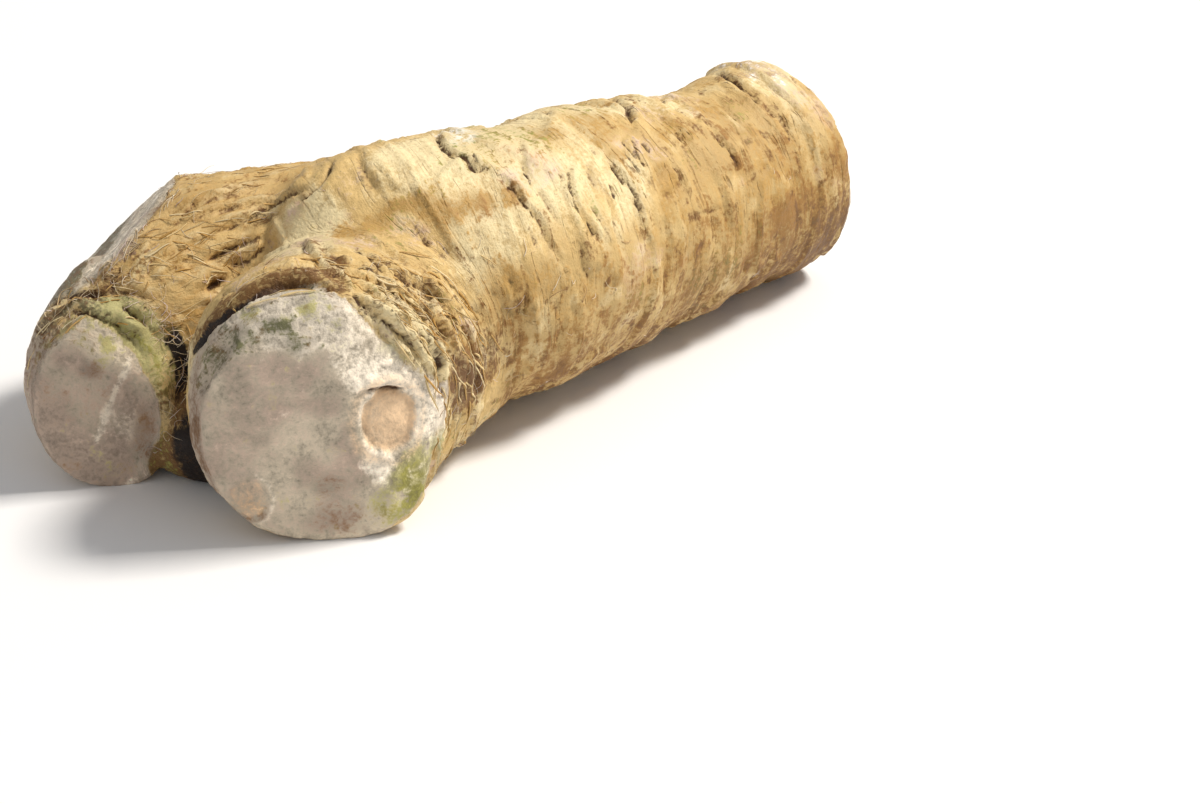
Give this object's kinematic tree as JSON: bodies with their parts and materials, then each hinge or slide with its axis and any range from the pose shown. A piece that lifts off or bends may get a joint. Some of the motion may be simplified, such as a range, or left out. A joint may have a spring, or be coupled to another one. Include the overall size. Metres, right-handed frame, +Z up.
{
  "type": "horseradish root",
  "caption": "Forked horseradish root lying on its side, with a thick ringed tap root and crown heads trimmed flat with a knife.",
  "frame": {"origin": "middle of the bounding box's underside, on the surface the root lies on", "axes": "+X along the tap root from the crown heads to the trimmed tip, +Z up, +Y towards the side of the smaller head"},
  "size_m": [0.2166, 0.1085, 0.0688],
  "materials": {
    "root_skin": "satin straw-tan root bark with brown ring scars, dull grey-pink knife faces and fine root hairs"
  },
  "bodies": {
    "root": {"root": "root_skin"}
  },
  "joints": []
}
